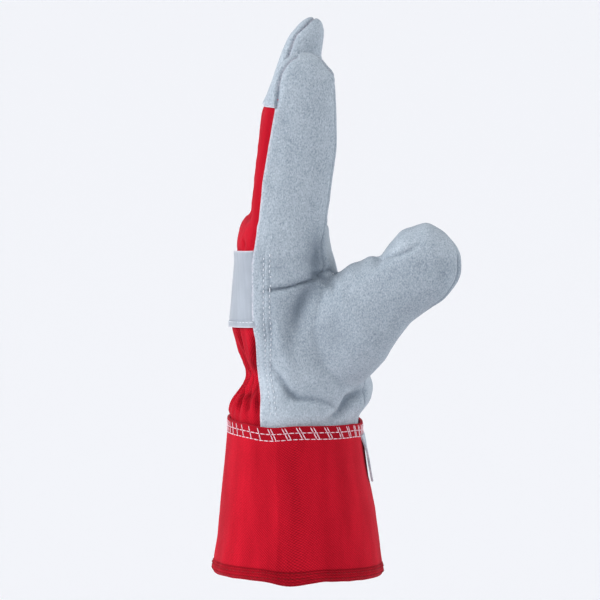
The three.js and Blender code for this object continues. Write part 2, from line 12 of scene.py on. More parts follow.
import bpy
import numpy as np
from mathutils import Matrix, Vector, noise
from mathutils.bvhtree import BVHTree


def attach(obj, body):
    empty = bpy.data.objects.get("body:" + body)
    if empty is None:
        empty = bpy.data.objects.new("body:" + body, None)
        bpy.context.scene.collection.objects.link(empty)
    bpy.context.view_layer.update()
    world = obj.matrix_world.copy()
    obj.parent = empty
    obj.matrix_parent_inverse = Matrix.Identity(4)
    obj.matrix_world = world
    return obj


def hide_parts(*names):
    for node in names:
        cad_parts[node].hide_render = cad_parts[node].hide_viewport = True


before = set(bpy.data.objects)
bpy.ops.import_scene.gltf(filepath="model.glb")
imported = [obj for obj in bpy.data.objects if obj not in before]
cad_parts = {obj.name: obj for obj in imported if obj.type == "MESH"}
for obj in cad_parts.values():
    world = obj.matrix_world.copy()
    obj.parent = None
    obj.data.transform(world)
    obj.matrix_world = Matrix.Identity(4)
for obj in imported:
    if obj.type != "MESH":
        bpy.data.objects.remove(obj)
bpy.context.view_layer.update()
MM = 0.001

# %% [markdown]
# ## The camera first
#
# The picture is taken from the thumb's side, a little from above, with a long lens, so that the
# fingers hardly shrink with distance. It comes first because it also places the folds: each is
# given by two real lengths, across and up in the plane through the glove's middle, and a straight
# line from the camera through that place finds its spot on the leather.

# %% Place the camera
CAMERA_AIM = Vector((0.95, 0, 130.87)) * MM
CAMERA_AWAY = 3000 * MM
CAMERA_RISE = math.radians(4)
PICTURE_SIDE = 600 * 0.4737 * MM  # 600 pixels, each 0.4737 mm at the glove
SENSOR = 36

camera = bpy.data.objects.new("camera", bpy.data.cameras.new("camera"))
bpy.context.scene.collection.objects.link(camera)
EYE = CAMERA_AIM + CAMERA_AWAY * Vector((0, -math.cos(CAMERA_RISE), math.sin(CAMERA_RISE)))
camera.location = EYE
camera.rotation_euler = (CAMERA_AIM - EYE).to_track_quat("-Z", "Y").to_euler()
camera.data.sensor_width = SENSOR
camera.data.lens = SENSOR * CAMERA_AWAY / PICTURE_SIDE
bpy.context.scene.camera = camera
bpy.context.scene.view_settings.view_transform = "Standard"
print("lens", round(camera.data.lens), "mm")

# %% [markdown]
# ## A few small helpers
#
# Every modelling step in Blender acts on what is selected, so each one starts by choosing its
# objects. A modifier that is applied leaves a plain mesh behind, which is what later steps need.

# %% Choose objects, apply modifiers and build meshes
def choose(*objects):
    """Selects these objects alone, with the first one active, or none at all."""
    bpy.ops.object.select_all(action="DESELECT")
    for item in objects:
        item.select_set(True)
    if objects:
        bpy.context.view_layer.objects.active = objects[0]


def modified(item, kind, **settings):
    """Adds a modifier with these settings and applies it."""
    choose(item)
    modifier = item.modifiers.new(kind.title(), kind)
    for name, value in settings.items():
        setattr(modifier, name, value)
    bpy.ops.object.modifier_apply(modifier=modifier.name)
    return item


def joined(name, *objects):
    """Makes one object of several."""
    choose(*objects)
    bpy.ops.object.join()
    bpy.context.object.name = name
    return bpy.context.object


def shown(name, data):
    """A new object in the scene, with this mesh or light."""
    item = bpy.data.objects.new(name, data)
    bpy.context.scene.collection.objects.link(item)
    return item


def built(name, points, faces):
    """A new object of these points and faces."""
    mesh = bpy.data.meshes.new(name)
    mesh.from_pydata(points, [], faces)
    return shown(name, mesh)


def copied(node):
    """A copy of a CAD node to work on, with its loose triangles merged."""
    twin = shown("copy_of_" + node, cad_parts[node].data.copy())
    twin.data.materials.clear()
    return modified(twin, "WELD", merge_threshold=0.01 * MM)


def turned_outwards(item):
    """Makes all faces of a shell point outwards."""
    choose(item)
    bpy.ops.object.mode_set(mode="EDIT")
    bpy.ops.mesh.select_all(action="SELECT")
    bpy.ops.mesh.normals_make_consistent(inside=False)
    bpy.ops.object.mode_set(mode="OBJECT")


def tree_of(*items):
    """The surface of one piece or of several, to measure from and to lay thread on."""
    points, faces = [], []
    for item in items:
        faces += [[corner + len(points) for corner in face.vertices] for face in item.data.polygons]
        points += [vertex.co for vertex in item.data.vertices]
    return BVHTree.FromPolygons(points, faces)


print("helpers ready")

# %% [markdown]
# ## One skin over all the panels
#
# Sewn leather flows over its seams, so the panels are not modelled one by one. Copies of the solids
# are swollen until their narrow seam gaps close, the mouth is plugged, and a voxel remesh wraps the
# whole in small even squares. Because the mouth is plugged, only the outside remains.
# A subdivision cage drawn by hand would have to be fitted to every finger, and the remesh gives the
# same even squares everywhere, which folds and seams need.

# %% Wrap the skin
LEATHER_PARTS = ("palm", "index_side", "thumb_front", "thumb_back", "middle_front", "ring_front")
PANELS = {"back_drill": "back_cloth"}  # the exact solids and the pieces that stand for them
PANELS.update({part + "_leather": part + "_panel" for part in LEATHER_PARTS})
PANELS.update({finger + "_tip_cap": finger + "_cap" for finger in ("index", "middle", "ring", "little")})
NODES = list(PANELS)
SEAM_CLOSING = 0.28 * MM  # how far the copies are swollen
SKIN_VOXEL = 0.92 * MM
PLUG_TOP = 75 * MM


def plug(hollow):
    """A convex stopper for the mouth of a hollow shell, from its lower end up to PLUG_TOP."""
    choose(hollow)
    bpy.ops.object.duplicate()
    stopper = bpy.context.object
    bpy.ops.object.mode_set(mode="EDIT")
    bpy.ops.mesh.select_all(action="SELECT")
    bpy.ops.mesh.bisect(plane_co=(0, 0, PLUG_TOP), plane_no=(0, 0, 1), clear_outer=True)
    bpy.ops.mesh.select_all(action="SELECT")
    bpy.ops.mesh.convex_hull()
    bpy.ops.object.mode_set(mode="OBJECT")
    return stopper


shell = joined("skin", *[copied(node) for node in NODES])
modified(shell, "DISPLACE", strength=SEAM_CLOSING, mid_level=0)
skin = modified(joined("skin", shell, plug(shell)), "REMESH", mode="VOXEL", voxel_size=SKIN_VOXEL)
print("skin:", len(skin.data.vertices), "points", len(skin.data.polygons), "faces")

# %% [markdown]
# ## Evening out the facets
#
# The skin still has the flat facets of the solids. Averaging each point with its neighbours rounds
# them off, as a Smooth modifier would, but it also shrinks the fingertips. So what that took away is
# averaged too and given back: the broad loss returns and the facets do not.

# %% Even out the skin
SMOOTH_ROUNDS = 44
SETTLE = 0.22 * MM  # how far the swollen skin sinks back afterwards


def points_of(item, field="co"):
    """The place of every point of a mesh, or its normal."""
    flat = np.empty(len(item.data.vertices) * 3)
    item.data.vertices.foreach_get(field, flat)
    return flat.reshape(-1, 3)


def place(item, points):
    item.data.vertices.foreach_set("co", points.ravel())
    item.data.update()


class Net:
    """Which points of a mesh are neighbours, to even out what varies over it."""

    def __init__(self, item):
        flat = np.empty(len(item.data.edges) * 2, int)
        item.data.edges.foreach_get("vertices", flat)
        self.ends = flat.reshape(-1, 2).T
        self.count = np.bincount(flat, minlength=len(item.data.vertices))

    def mean(self, column):
        a, b = self.ends
        size = len(column)
        return (np.bincount(a, column[b], size) + np.bincount(b, column[a], size)) / self.count

    def evened(self, values, rounds):
        columns = [c.copy() for c in values.reshape(len(values), -1).T]
        for _ in range(rounds):
            columns = [(c + self.mean(c)) / 2 for c in columns]
        return np.array(columns).T.reshape(values.shape)


def smooth_step(low, high, value):
    """0 before low, 1 past high and smooth between. It falls where high is the smaller one."""
    share = np.clip((value - low) / (high - low), 0, 1)
    return share * share * (3 - 2 * share)


def ramp(low, high, lengths):
    """A smooth step between two lengths in millimetres."""
    return smooth_step(low * MM, high * MM, lengths)


def bell(value, half, middle=0):
    """1 at the middle and less on both sides, about a third at the half width."""
    return np.exp(-(((value - middle) / half) ** 2))


def dip(lengths, depth, half, middle):
    """A soft dip of a depth at a place, with its half width, all three in millimetres."""
    return depth * MM * bell(lengths, half * MM, middle * MM)


skin_net = Net(skin)
rough = points_of(skin)
even = skin_net.evened(rough, SMOOTH_ROUNDS)
even += skin_net.evened(rough - even, SMOOTH_ROUNDS)
place(skin, even)
even -= SETTLE * points_of(skin, "normal")
place(skin, even)
skin_points, skin_normals = even, points_of(skin, "normal")
palmwards, sideways, height = skin_points.T
skin_faces = np.array([face.vertices[:] for face in skin.data.polygons])
skin_tree = tree_of(skin)
print("the skin now reaches", (skin_points.max(0) / MM).round(1))

# %% [markdown]
# ## Which panel is where
#
# Every point of the skin belongs to the panel whose solid lies nearest. The difference between the
# nearest and the second nearest distance tells how far a point is from a seam, so one pair of
# numbers gives the panels, their outlines and everything that follows a seam. Taking a little from
# a panel's distance moves its outline outwards, which brings five of them, by 1 to 3 mm, to where
# the seams of the real glove run.

# %% Measure the distance to every panel
REACH = 9 * MM
CLOTH = NODES.index("back_drill")


def distance_to(node):
    """How far every point of the skin lies from a solid, up to REACH."""
    tree = tree_of(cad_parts[node])
    hits = (tree.find_nearest(p, REACH)[3] for p in skin_points)
    return np.array([REACH if hit is None else hit for hit in hits])


def past_edge(index):
    """How far every point lies outside a panel's outline. It is below 0 inside."""
    return away[index] - np.delete(away, index, axis=0).min(axis=0)


away = np.array([skin_net.evened(distance_to(node), 4) for node in NODES])
from_drill = past_edge(CLOTH)  # what the topstitching follows
print("solids measured:", len(away))

# %% Move some outlines
facing_thumb = ramp(-20, -26, sideways) * smooth_step(0.3, -0.3, skin_normals[:, 1])
front_seam = ramp(141, 151, height) * (sideways < 0) * (palmwards > 0)
lower_seam = ramp(152, 146, height) * ramp(-21, -17, palmwards) * ramp(-20, -26, sideways)
thumb_edge = ramp(56, 64, palmwards) * ramp(162, 152, height)
MOVED = {
    "back_drill": 2.8 * MM * facing_thumb * ramp(150, 172, height),
    "index_tip_cap": (2.8 - 1.6 * ramp(226, 238, height)) * MM * facing_thumb,
    "index_side_leather": np.maximum(3.2 * MM * front_seam, 2.1 * MM * lower_seam),
    "thumb_back_leather": 3.4 * MM * thumb_edge,
    "middle_tip_cap": 2.4 * MM * ramp(256, 263, height),
}
for node, outwards in MOVED.items():
    away[NODES.index(node)] -= outwards
nearest_two = np.argsort(away, axis=0)[:2]
nearest, second = np.take_along_axis(away, nearest_two, axis=0)
to_seam = second - nearest
at_cloth = (nearest_two == CLOTH).any(axis=0)  # the seam close by is one between leather and drill
past_cloth = past_edge(CLOTH)
print("points on the drill:", int((past_cloth < 0).sum()), "of", len(skin_points))

# %% [markdown]
# ## Folds and creases
#
# Worn leather creases where the thumb meets the hand and where the cuff holds the wrist. A sculptor
# would drag a crease brush along each one. Here each fold is a short path in the plane through the
# middle of the glove, with its half width and its depth in millimetres, and the camera's line of
# sight carries it to the leather. A ridge is a fold with a depth below zero.

# %% List the folds
FOLDS = (
    ("valley below the thumb seam", 4, 2.1, (11.5, 143.5), (9, 140), (5.8, 136), (2.8, 131.6),
     (0.4, 126.5), (-1, 120.5), (-0.8, 115)),
    ("rise of the thumb beside it", 5.5, -0.9, (14.5, 134), (11.5, 127), (9, 119), (8.5, 110)),
    ("index finger's root by the web", 4.6, 2.6, (12, 158), (10.5, 150), (9.2, 145.5)),
    ("hollow beside the finger's root", 6.5, 1.6, (9, 163), (8.4, 154), (8.6, 146)),
    ("shoulder of the index fingertip", 2.7, -2, (15.2, 238.6), (15.8, 234)),
    ("hollow of the palm", 10, 0.6, (19, 119), (15, 108)),
    ("line of the thumb seam", 0.7, 1.2, (-14, 135.2), (-12.2, 135.5), (-5.5, 136.4), (0.6, 138),
     (6.7, 140.2), (9.6, 141.4), (12, 143)),
    ("dark end of the web", 1.8, 2.1, (7.2, 142.6), (11, 143.2), (14.6, 141.2)),
    ("heel crease", 1.6, 2, (-12.8, 100), (-11, 96.4), (-7.1, 91.6), (-3.8, 86.6), (-0.5, 84.3),
     (5.7, 83.6), (11.4, 82.9), (15.4, 80.8), (18.4, 78.8)),
    ("ridge over the heel crease", 2.6, -0.8, (-7, 97), (-2, 91), (3, 88.4), (10, 87.6)),
    ("pocket at the wrist", 2.6, 3.4, (32.6, 88.4), (27.9, 86.4), (24, 83.6), (22.3, 80.4),
     (20.4, 77), (14.2, 72.4)),
    ("lip of the pocket", 1.8, -0.9, (31.4, 85.4), (28.4, 80.5), (26.2, 75.5)),
    ("thumb web crease", 1.2, 1.7, (37.2, 153.4), (38.4, 152.6), (43.6, 152.2), (48.3, 152.7),
     (53.1, 154.6), (57.5, 157.4)),
    ("crease beside the lip", 1.1, 1.5, (32.4, 88.8), (30.6, 83.3), (29, 78.5), (27.6, 73.5)),
    ("fullness below the thumb", 6, -1.5, (49, 119), (44, 112)),
    ("fullness over the heel", 7, -1.6, (33.5, 96), (29.5, 88), (27.5, 78)),
    ("ridge left of the valley", 3.4, -0.8, (-9.5, 117), (-6.8, 106.5), (-2.8, 97)),
    ("dent beside the topstitching", 2.8, 0.8, (-13.3, 120), (-13.6, 111)),
    ("dent in the web", 1.7, 1.1, (13, 139.5), (15.8, 138.6), (17.2, 136)),
    ("ridge by the web", 2, -0.5, (21.3, 138.5), (20.8, 130)),
    ("dent in the drill over the strap", 1.8, 1.1, (-26.2, 158.6), (-25.8, 156.8)),
    ("long gather above the elastic", 3, 3.2, (-28.4, 118), (-27.4, 111), (-25.6, 103.6), (-24, 97.5)),
    ("gather along the leather", 1.2, 2.2, (-21.4, 113), (-21.3, 106), (-21.1, 101), (-20.5, 95.5)),
    ("gather below, to the back", 1.3, 2.4, (-24.6, 96.5), (-26.9, 90.9), (-29.4, 86.1), (-31, 82)),
    ("gather below, in the middle", 1.3, 2.6, (-24, 96), (-26.2, 89), (-27.6, 82.8), (-28, 78)),
    ("gather below, to the front", 1.2, 2.4, (-22.6, 96.5), (-23.4, 88), (-24, 79.5)),
    ("pleat below, to the back", 1.1, -1.3, (-24.6, 92), (-27.6, 86), (-29.2, 80)),
    ("pleat below, to the front", 1.1, -1.3, (-22.9, 92), (-24.4, 86), (-25.6, 78)),
    ("pleat above, at the back", 1.3, -1, (-24.6, 112), (-22.8, 104), (-22, 98)),
    ("gather below the leather's edge", 1.1, 2, (-20.9, 94), (-20.2, 85.6), (-19.5, 77.6)),
)
FOLD_STEP = 1.2 * MM
FOLD_FADE = 0.6  # below 1, a fold keeps its depth almost to its ends
DARKEST_DEPTH = 2.6  # mm, from which the bottom of a fold gets no more light
print("folds:", len(FOLDS))

# %% Press the broad hollows
TIP_PRESSED = 2 * MM  # how far the highest fingertip goes down
FRONT_HOLLOW = (1.6, 4.5, 245)  # depth, half width and height of the dip where two fingertips part
WEB_SLACK, WEB_NOTCH = 1.4, 1.8  # mm that the top of the thumb's web sinks, broadly and in a notch
NOTCH_HALF, NOTCH_X = 2.7 * MM, 36.9 * MM

relief = -TIP_PRESSED * ramp(254, 262, height) * np.maximum(skin_normals[:, 2], 0)
at_front = ramp(6, 11, palmwards) * ramp(-37, -31, sideways)
relief -= dip(height, *FRONT_HOLLOW) * at_front
sunk = WEB_SLACK * ramp(24, 30, palmwards) * ramp(62, 50, palmwards)
sunk += WEB_NOTCH * bell(palmwards, NOTCH_HALF, NOTCH_X)
relief -= sunk * MM * smooth_step(0.2, 0.7, skin_normals[:, 2]) * ramp(135, 142, height)
print("pressed down by up to", round(-relief.min() / MM, 1), "mm")

# %% Find and press the folds
def seen(across, up):
    """The place on the skin that the camera sees through a spot of the middle plane, in mm."""
    line = (Vector((across, 0, up)) * MM - EYE).normalized()
    spot = skin_tree.ray_cast(EYE, line)[0]
    return spot if spot and spot.y < 0 else None


def followed(path, step):
    """Points along a path of points, a step apart."""
    found = []
    for a, b in zip(path, path[1:]):
        count = max(1, round((b - a).length / step))
        found += [a.lerp(b, i / count) for i in range(count)]
    return found + [path[-1]]


def pressed(path, half):
    """How strongly a fold along a path takes hold of each point, 0 to 1. It fades at both ends."""
    spots = np.array(followed(path, FOLD_STEP))
    strength = np.sin(np.linspace(0, math.pi, len(spots) + 2)[1:-1]) ** FOLD_FADE
    hold = np.zeros(len(skin_points))
    for spot, share in zip(spots, strength):
        near = np.exp(-(((skin_points - spot) ** 2).sum(axis=1)) / (half * MM) ** 2)
        hold = np.maximum(hold, share * near)
    return hold


light_left = np.ones(len(skin_points))  # 1 on open ground, less in the bottom of a fold
for _, half, depth, *path in FOLDS:
    spots = [seen(*spot) for spot in path]
    hold = pressed([spot for spot in spots if spot], half)
    relief -= depth * MM * hold
    light_left *= 1 - min(max(depth / DARKEST_DEPTH, 0), 1) * hold**1.6
# crease is painted shade: it darkens the colour in the bottom of each fold
crease = 1 - light_left
print("deepest fold", round(relief.min() / MM, 1), "mm")

# %% [markdown]
# ## Gathers at the elastic
#
# An elastic sewn across the back of the wrist draws the drill into small upright pleats. They are
# strongest at the elastic and open out above and below it. A cosine round the wrist makes them, and
# noise moves each a little, since gathers are never even. Cloth simulation could gather the drill
# too, but the pleats would not fall where the real ones do.

# %% Gather the drill
ELASTIC = {"z": 96 * MM, "reach_up": 20 * MM, "reach_down": 17 * MM, "pitch": 7.5 * MM, "depth": 1.0 * MM}
PINCH = (1.5, 8, -1)  # depth, half width and height over the elastic of the waist that it draws


def unevenness(points, scale, seed):
    """Soft random values from about -1 to 1, whose bumps are a scale wide."""
    shift = Vector((seed, 2 * seed, 3 * seed))
    return np.array([noise.noise(Vector(p) / scale + shift) for p in points])


def around(points):
    """Length round the wrist, from the middle of the back, positive towards the little finger."""
    middle_x, mean_radius = 4 * MM, 40 * MM
    return np.arctan2(points[:, 1], middle_x - points[:, 0]) * mean_radius


on_wrist = (height < 135 * MM) & (past_cloth < 4 * MM)
wrist = skin_points[on_wrist]
above_elastic = wrist[:, 2] - ELASTIC["z"]
fade = bell(above_elastic, np.where(above_elastic > 0, ELASTIC["reach_up"], ELASTIC["reach_down"]))
wander = unevenness(wrist * (1, 1, 0.2), 13 * MM, 5) * 2.4
wave = np.cos(2 * math.pi * around(wrist) / ELASTIC["pitch"] + wander)
folded = 0.8 * wave + 0.4 * unevenness(wrist * (1, 1, 0.3), 9 * MM, 8)
pinch = dip(above_elastic, *PINCH)
on_cloth = 1 - ramp(0, 4, past_cloth[on_wrist])
relief[on_wrist] += (ELASTIC["depth"] * fade * folded - pinch) * on_cloth
# the valleys of the pleats get painted shade as well
crease[on_wrist] = np.maximum(crease[on_wrist], 0.6 * fade * np.clip(-wave, 0, 1) ** 2 * on_cloth)
print("pleats round the back of the wrist:", round(80 * MM / ELASTIC["pitch"]))

# %% [markdown]
# ## Soft unevenness
#
# Nothing that is cut from a hide and often worn is quite smooth. Two sizes of noise move the surface
# by a few tenths of a millimetre, the leather in broad swells and the thinner drill in puckers.

# %% Add the unevenness
SWELL_SIZE, PUCKER_SIZE = 24 * MM, 7 * MM

broad = unevenness(skin_points, SWELL_SIZE, 1)
fine = unevenness(skin_points, PUCKER_SIZE, 2)
relief += (0.35 * broad + 0.12 * fine) * MM + ramp(2, -2, past_cloth) * 0.2 * fine * MM
print("unevenness from", round(broad.min(), 2), "to", round(broad.max(), 2))

# %% [markdown]
# ## Seams
#
# There are two kinds. Leather is sewn to leather inside out and then turned, which leaves a narrow
# groove with a soft swell on each side. Where leather meets drill it is laid over it with its raw
# edge showing: the leather rises a little there, and the drill passes under it.

# %% Press the seams
GROOVE = {"half": 0.85 * MM, "depth": 1.3 * MM}  # of a turned seam
SWELL = {"from_seam": 3.2 * MM, "half": 2.4 * MM, "height": 0.25 * MM}
STITCH_INSETS = (5.6 * MM, 8.3 * MM)  # how far the two topstitched rows keep from the drill
STITCH_DENT = {"half": 0.7 * MM, "depth": 0.4 * MM}
STITCHED_HEIGHTS = (79 * MM, 156 * MM)
LAP = {"raise": 0.5 * MM, "fade": 5 * MM, "sink": 0.55 * MM, "under": 2.5 * MM, "thinner": 0.3 * MM}
FADE_BELOW = 160 * MM  # where turned seams run out before they reach the drill

turned = ~at_cloth
groove = bell(to_seam, GROOVE["half"]) * turned
swell = bell(to_seam, SWELL["half"], SWELL["from_seam"]) * turned
groove *= np.where(height < FADE_BELOW, ramp(5, 11, past_cloth), 1)
at_tip = ramp(244, 256, height)
leather_relief = relief - GROOVE["depth"] * (1 - 0.3 * at_tip) * groove + SWELL["height"] * swell
leather_relief += LAP["raise"] * (1 - smooth_step(0, LAP["fade"], np.abs(past_cloth)))
stitched = sum(bell(from_drill, STITCH_DENT["half"], inset) for inset in STITCH_INSETS)
low, high = STITCHED_HEIGHTS
stitched *= smooth_step(low, low + 4 * MM, height) * smooth_step(high, high - 4 * MM, height)
leather_relief -= STITCH_DENT["depth"] * stitched
cloth_relief = relief - LAP["sink"] * ramp(-4, 0, past_cloth)
cloth_relief -= LAP["thinner"] * ramp(0, 1, past_cloth)
print("points in a groove:", int((groove > 0.5).sum()))

# %% [markdown]
# ## Cutting the skin into panels
#
# A panel is the part of the skin where its own distance is the smallest. Cutting along that line
# needs no knife tool: each square that the line crosses is clipped, and the new corners are placed
# where the value is exactly zero, so the edges come out smooth however the squares run.
# The marks that a material needs later travel with the points as attributes.

# %% Cut a sheet out of the skin
def clipped(value):
    """The squares of the skin where value is below 0, and the new points as pairs and shares."""
    inside = value < 0
    corners_inside = inside[skin_faces].sum(axis=1)
    kept = skin_faces[corners_inside == 4].tolist()
    crossings = {}
    for face in skin_faces[(corners_inside > 0) & (corners_inside < 4)].tolist():
        outline = []
        for a, b in zip(face, face[1:] + face[:1]):
            if inside[a]:
                outline.append(a)
            if inside[a] != inside[b]:
                pair = (min(a, b), max(a, b))
                outline.append(crossings.setdefault(pair, len(value) + len(crossings)))
        kept.append(outline)
    a, b = np.array(list(crossings)).T
    return kept, a, b, value[a] / (value[a] - value[b])


def carried(array, a, b, share):
    """Values at the old points and at the new ones between them."""
    weight = share.reshape(-1, *[1] * (array.ndim - 1))
    return np.concatenate([array, array[a] * (1 - weight) + array[b] * weight])


def marked(item, **marks):
    """Stores a number or a vector for every point as an attribute that materials can read."""
    for name, values in marks.items():
        kind, field = ("FLOAT", "value") if values.ndim == 1 else ("FLOAT_VECTOR", "vector")
        item.data.attributes.new(name, kind, "POINT").data.foreach_set(field, values.ravel())
    return item


def sheet_cut(name, value, points, **marks):
    """A new sheet: the part of the skin where value is below 0, laid through these points."""
    faces, a, b, share = clipped(value)
    flat = np.concatenate([np.array(face) for face in faces])
    used, renumbered = np.unique(flat, return_inverse=True)
    sizes = np.cumsum([len(face) for face in faces])[:-1]
    item = built(name, carried(points, a, b, share)[used], [f.tolist() for f in np.split(renumbered, sizes)])
    return marked(item, **{key: carried(values, a, b, share)[used] for key, values in marks.items()})


print("cutting is ready")

# %% [markdown]
# ## The panels with their thickness
#
# Each sheet now gets its wall with a Solidify modifier that grows inwards, and a small bevel rounds
# the cut edge, because a knife-sharp edge never catches light. The drill's sheet reaches a little
# past its own line, so it really passes under the leather.

# %% Make the panels
LEATHER_WALL = 1.1 * MM
DRILL_WALL = 0.8 * MM
EDGE_BEVEL = 0.22 * MM
EDGE_ANGLE = math.radians(50)
RAW_EDGE = 0.75 * MM
STRAP_LIFT = 0.8 * MM  # how much higher the leather edge lies where the strap's end is under it
STRAP_MIDDLE, STRAP_HALF = 137 * MM, 19 * MM


def finished_wall(item, wall):
    """Gives a sheet its thickness inwards and softens its edges."""
    modified(item, "SOLIDIFY", thickness=wall, offset=-1)
    modified(item, "BEVEL", width=EDGE_BEVEL, segments=2, limit_method="ANGLE", angle_limit=EDGE_ANGLE)
    choose(item)
    bpy.ops.object.shade_smooth_by_angle(angle=EDGE_ANGLE)
    return item


levels = np.arange(60, 270, 10) * MM
backs = [palmwards[(past_cloth < 0) & (abs(height - z) < 6 * MM)].min(initial=0) for z in levels]
weft = sideways + np.sign(skin_normals[:, 1]) * (palmwards - np.interp(height, levels, backs))
weave = np.stack([weft, height, 0 * height], axis=1)  # runs on round the edges of the hand
near_strap = np.exp(-(((height - STRAP_MIDDLE) / STRAP_HALF) ** 6))
leather_relief += STRAP_LIFT * near_strap * (1 - ramp(0, 7, np.abs(past_cloth)))
raw = bell(to_seam, RAW_EDGE) * np.maximum(at_cloth, 0.6 * ramp(228, 236, height))
# dark is painted shade: the bottom of folds, the seam grooves (darker still at the fingertips) and the
# stitch dents. The drill's sheet gets only the painted shade of its folds and gathers.
dark = np.clip(crease + (0.9 + 0.5 * at_tip) * groove + 0.45 * stitched, 0, 1)
leather_points = skin_points + leather_relief[:, None] * skin_normals
cloth_points = skin_points + cloth_relief[:, None] * skin_normals
panels = {}
for index, (node, name) in enumerate(PANELS.items()):
    if index == CLOTH:
        sheet = sheet_cut(name, past_cloth - LAP["under"], cloth_points, dark=crease, weave=weave)
        panels[node] = finished_wall(sheet, DRILL_WALL)
    else:
        sheet = sheet_cut(name, past_edge(index), leather_points, dark=dark, raw=raw)
        panels[node] = finished_wall(sheet, LEATHER_WALL)
    print(name, len(panels[node].data.polygons), "faces")

# %% [markdown]
# ## The cuff
#
# The cuff is a stiff flared tube with a doubled hem. A ring is extruded up row by row, closely at
# the hem and at the seam, where there is detail, and widely between. The exact cuff is measured with
# straight lines from outside, and the rows are set on oval sections as wide as it is at each height.

# %% Extrude the cuff
CUFF_COLUMNS = 330
CUFF_TOP = {"z": 74.8 * MM, "slope": -0.02}
CUFF_HEM = {"z": 2.0 * MM, "slope": -0.015}
CLOSE_ROW, WIDE_ROW = 0.42 * MM, 1.3 * MM
CLOSE_HEM, CLOSE_SEAM = 6.3 * MM, 68 * MM  # the rows are close below the first and above the second


def rows_between(low, high, step):
    return [low + i * step for i in range(round((high - low) / step))]


top = CUFF_TOP["z"]
rows = rows_between(0, CLOSE_HEM, CLOSE_ROW) + rows_between(CLOSE_HEM, CLOSE_SEAM, WIDE_ROW)
rows += rows_between(CLOSE_SEAM, top, CLOSE_ROW) + [top]
choose()
bpy.ops.mesh.primitive_circle_add(vertices=CUFF_COLUMNS, radius=1, fill_type="NOTHING")
cuff = bpy.context.object
cuff.name = "cuff"
bpy.ops.object.mode_set(mode="EDIT")
bpy.ops.mesh.select_all(action="SELECT")
for low, high in zip(rows, rows[1:]):
    bpy.ops.mesh.extrude_region_move(TRANSFORM_OT_translate={"value": (0, 0, high - low)})
bpy.ops.object.mode_set(mode="OBJECT")
turned_outwards(cuff)
print("cuff rows:", len(rows))

# %% Measure the exact cuff
FAR = 0.2  # well outside the glove


def cuff_reach(surface, z):
    """How far the exact cuff reaches to the back, to the palm and sideways at a height."""
    back = surface.ray_cast(Vector((-FAR, 0, z)), Vector((1, 0, 0)))[0].x
    palm = surface.ray_cast(Vector((FAR, 0, z)), Vector((-1, 0, 0)))[0].x
    near = surface.ray_cast(Vector(((back + palm) / 2, -FAR, z)), Vector((0, 1, 0)))[0].y
    return back, palm, -near


tube = points_of(cuff)
angle = np.arctan2(tube[:, 1], tube[:, 0])
up = tube[:, 2]
levels = np.linspace(10 * MM, 70 * MM, 9)
exact_cuff = tree_of(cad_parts["cuff_drill"])
reaches = np.array([cuff_reach(exact_cuff, z) for z in levels])
slopes = np.gradient(reaches, levels, axis=0)
back, palm, wide = [
    np.interp(up, levels, reaches[:, i]) + np.minimum(up - levels[0], 0) * slopes[0, i] for i in range(3)
]
print("half width at the hem:", round(wide.max() / MM, 1), "mm")

# %% Shape the cuff
CUFF_SQUARE = 2.45  # 2 would be an ellipse
CUFF_WALL = 1.3 * MM
HALF_WIDE, HALF_DEEP = 45, 37  # mm, about half the cuff's width and depth
HEM = {"height": 5.2 * MM, "step": 0.25 * MM, "ridge": 0.14 * MM, "pitch": 1.3 * MM, "groove": 0.3 * MM}
CUFF_RIDGE = {"x": -6.5 * MM, "half": 8 * MM, "height": 2.3 * MM}  # a blunt upright fold, thumb's side
HEM_DIP, RIM_DIP = (2.2, 10, -3), (1.3, 10, -14)  # depth, half width and place from back to palm
RIM_FALL = 1.6 * MM  # how much lower the rim runs on the palm's side
RIM_MIDDLE = -1.4 * MM


def oval(half, part):
    return half * np.sign(part) * np.abs(part) ** (2 / CUFF_SQUARE)


billow = unevenness(np.stack([np.cos(angle), np.sin(angle), 0.006 * up / MM], axis=1) * 1.5, 0.62, 3)
ripple = unevenness(np.stack([np.cos(angle), np.sin(angle), 0.02 * up / MM], axis=1), 0.16, 4)
in_hem = smooth_step(HEM["height"] + 0.25 * MM, HEM["height"] - 0.1 * MM, up)
edge_round = ramp(0, 0.8, up) * 0.4 + 0.6
bands = np.cos(2 * math.pi * up / HEM["pitch"])
hem_line = bell(up - HEM["height"], 0.4 * MM, 0.45 * MM)
grow = in_hem * (HEM["step"] * edge_round + HEM["ridge"] * bands) - HEM["groove"] * hem_line
grow += (0.7 * billow + 0.12 * ripple) * MM * smooth_step(top, top - 12 * MM, up)
grow += 0.3 * MM * ripple * ramp(12, 0, up) - 1.2 * MM * ramp(1.8, -0.6, up)
thumb_side = ramp(0, -10, tube[:, 1] * HALF_WIDE * MM)
from_ridge = tube[:, 0] * HALF_DEEP * MM - CUFF_RIDGE["x"]
ridge_height = CUFF_RIDGE["height"] * smooth_step(top, top - 9 * MM, up)
grow += ridge_height * np.exp(-np.abs(from_ridge) / CUFF_RIDGE["half"]) * thumb_side
x = (back + palm) / 2 + oval((palm - back) / 2 + grow, np.cos(angle))
y = oval(wide + grow, np.sin(angle))
share = up / top
z = (1 - share) * (CUFF_HEM["z"] + CUFF_HEM["slope"] * x) + share * CUFF_TOP["slope"] * x + up
z += (0.3 * MM * ripple + 0.3 * MM * billow) * ramp(12, 0, up)
z -= dip(x, *HEM_DIP) * thumb_side * ramp(14, 0, up)
z -= dip(x, *RIM_DIP) * thumb_side * share
z -= RIM_FALL * ramp(26, 34, x) * share
place(cuff, np.stack([x, y, z], axis=1))
print("width at the hem:", round((x.max() - x.min()) / MM, 1), "mm")

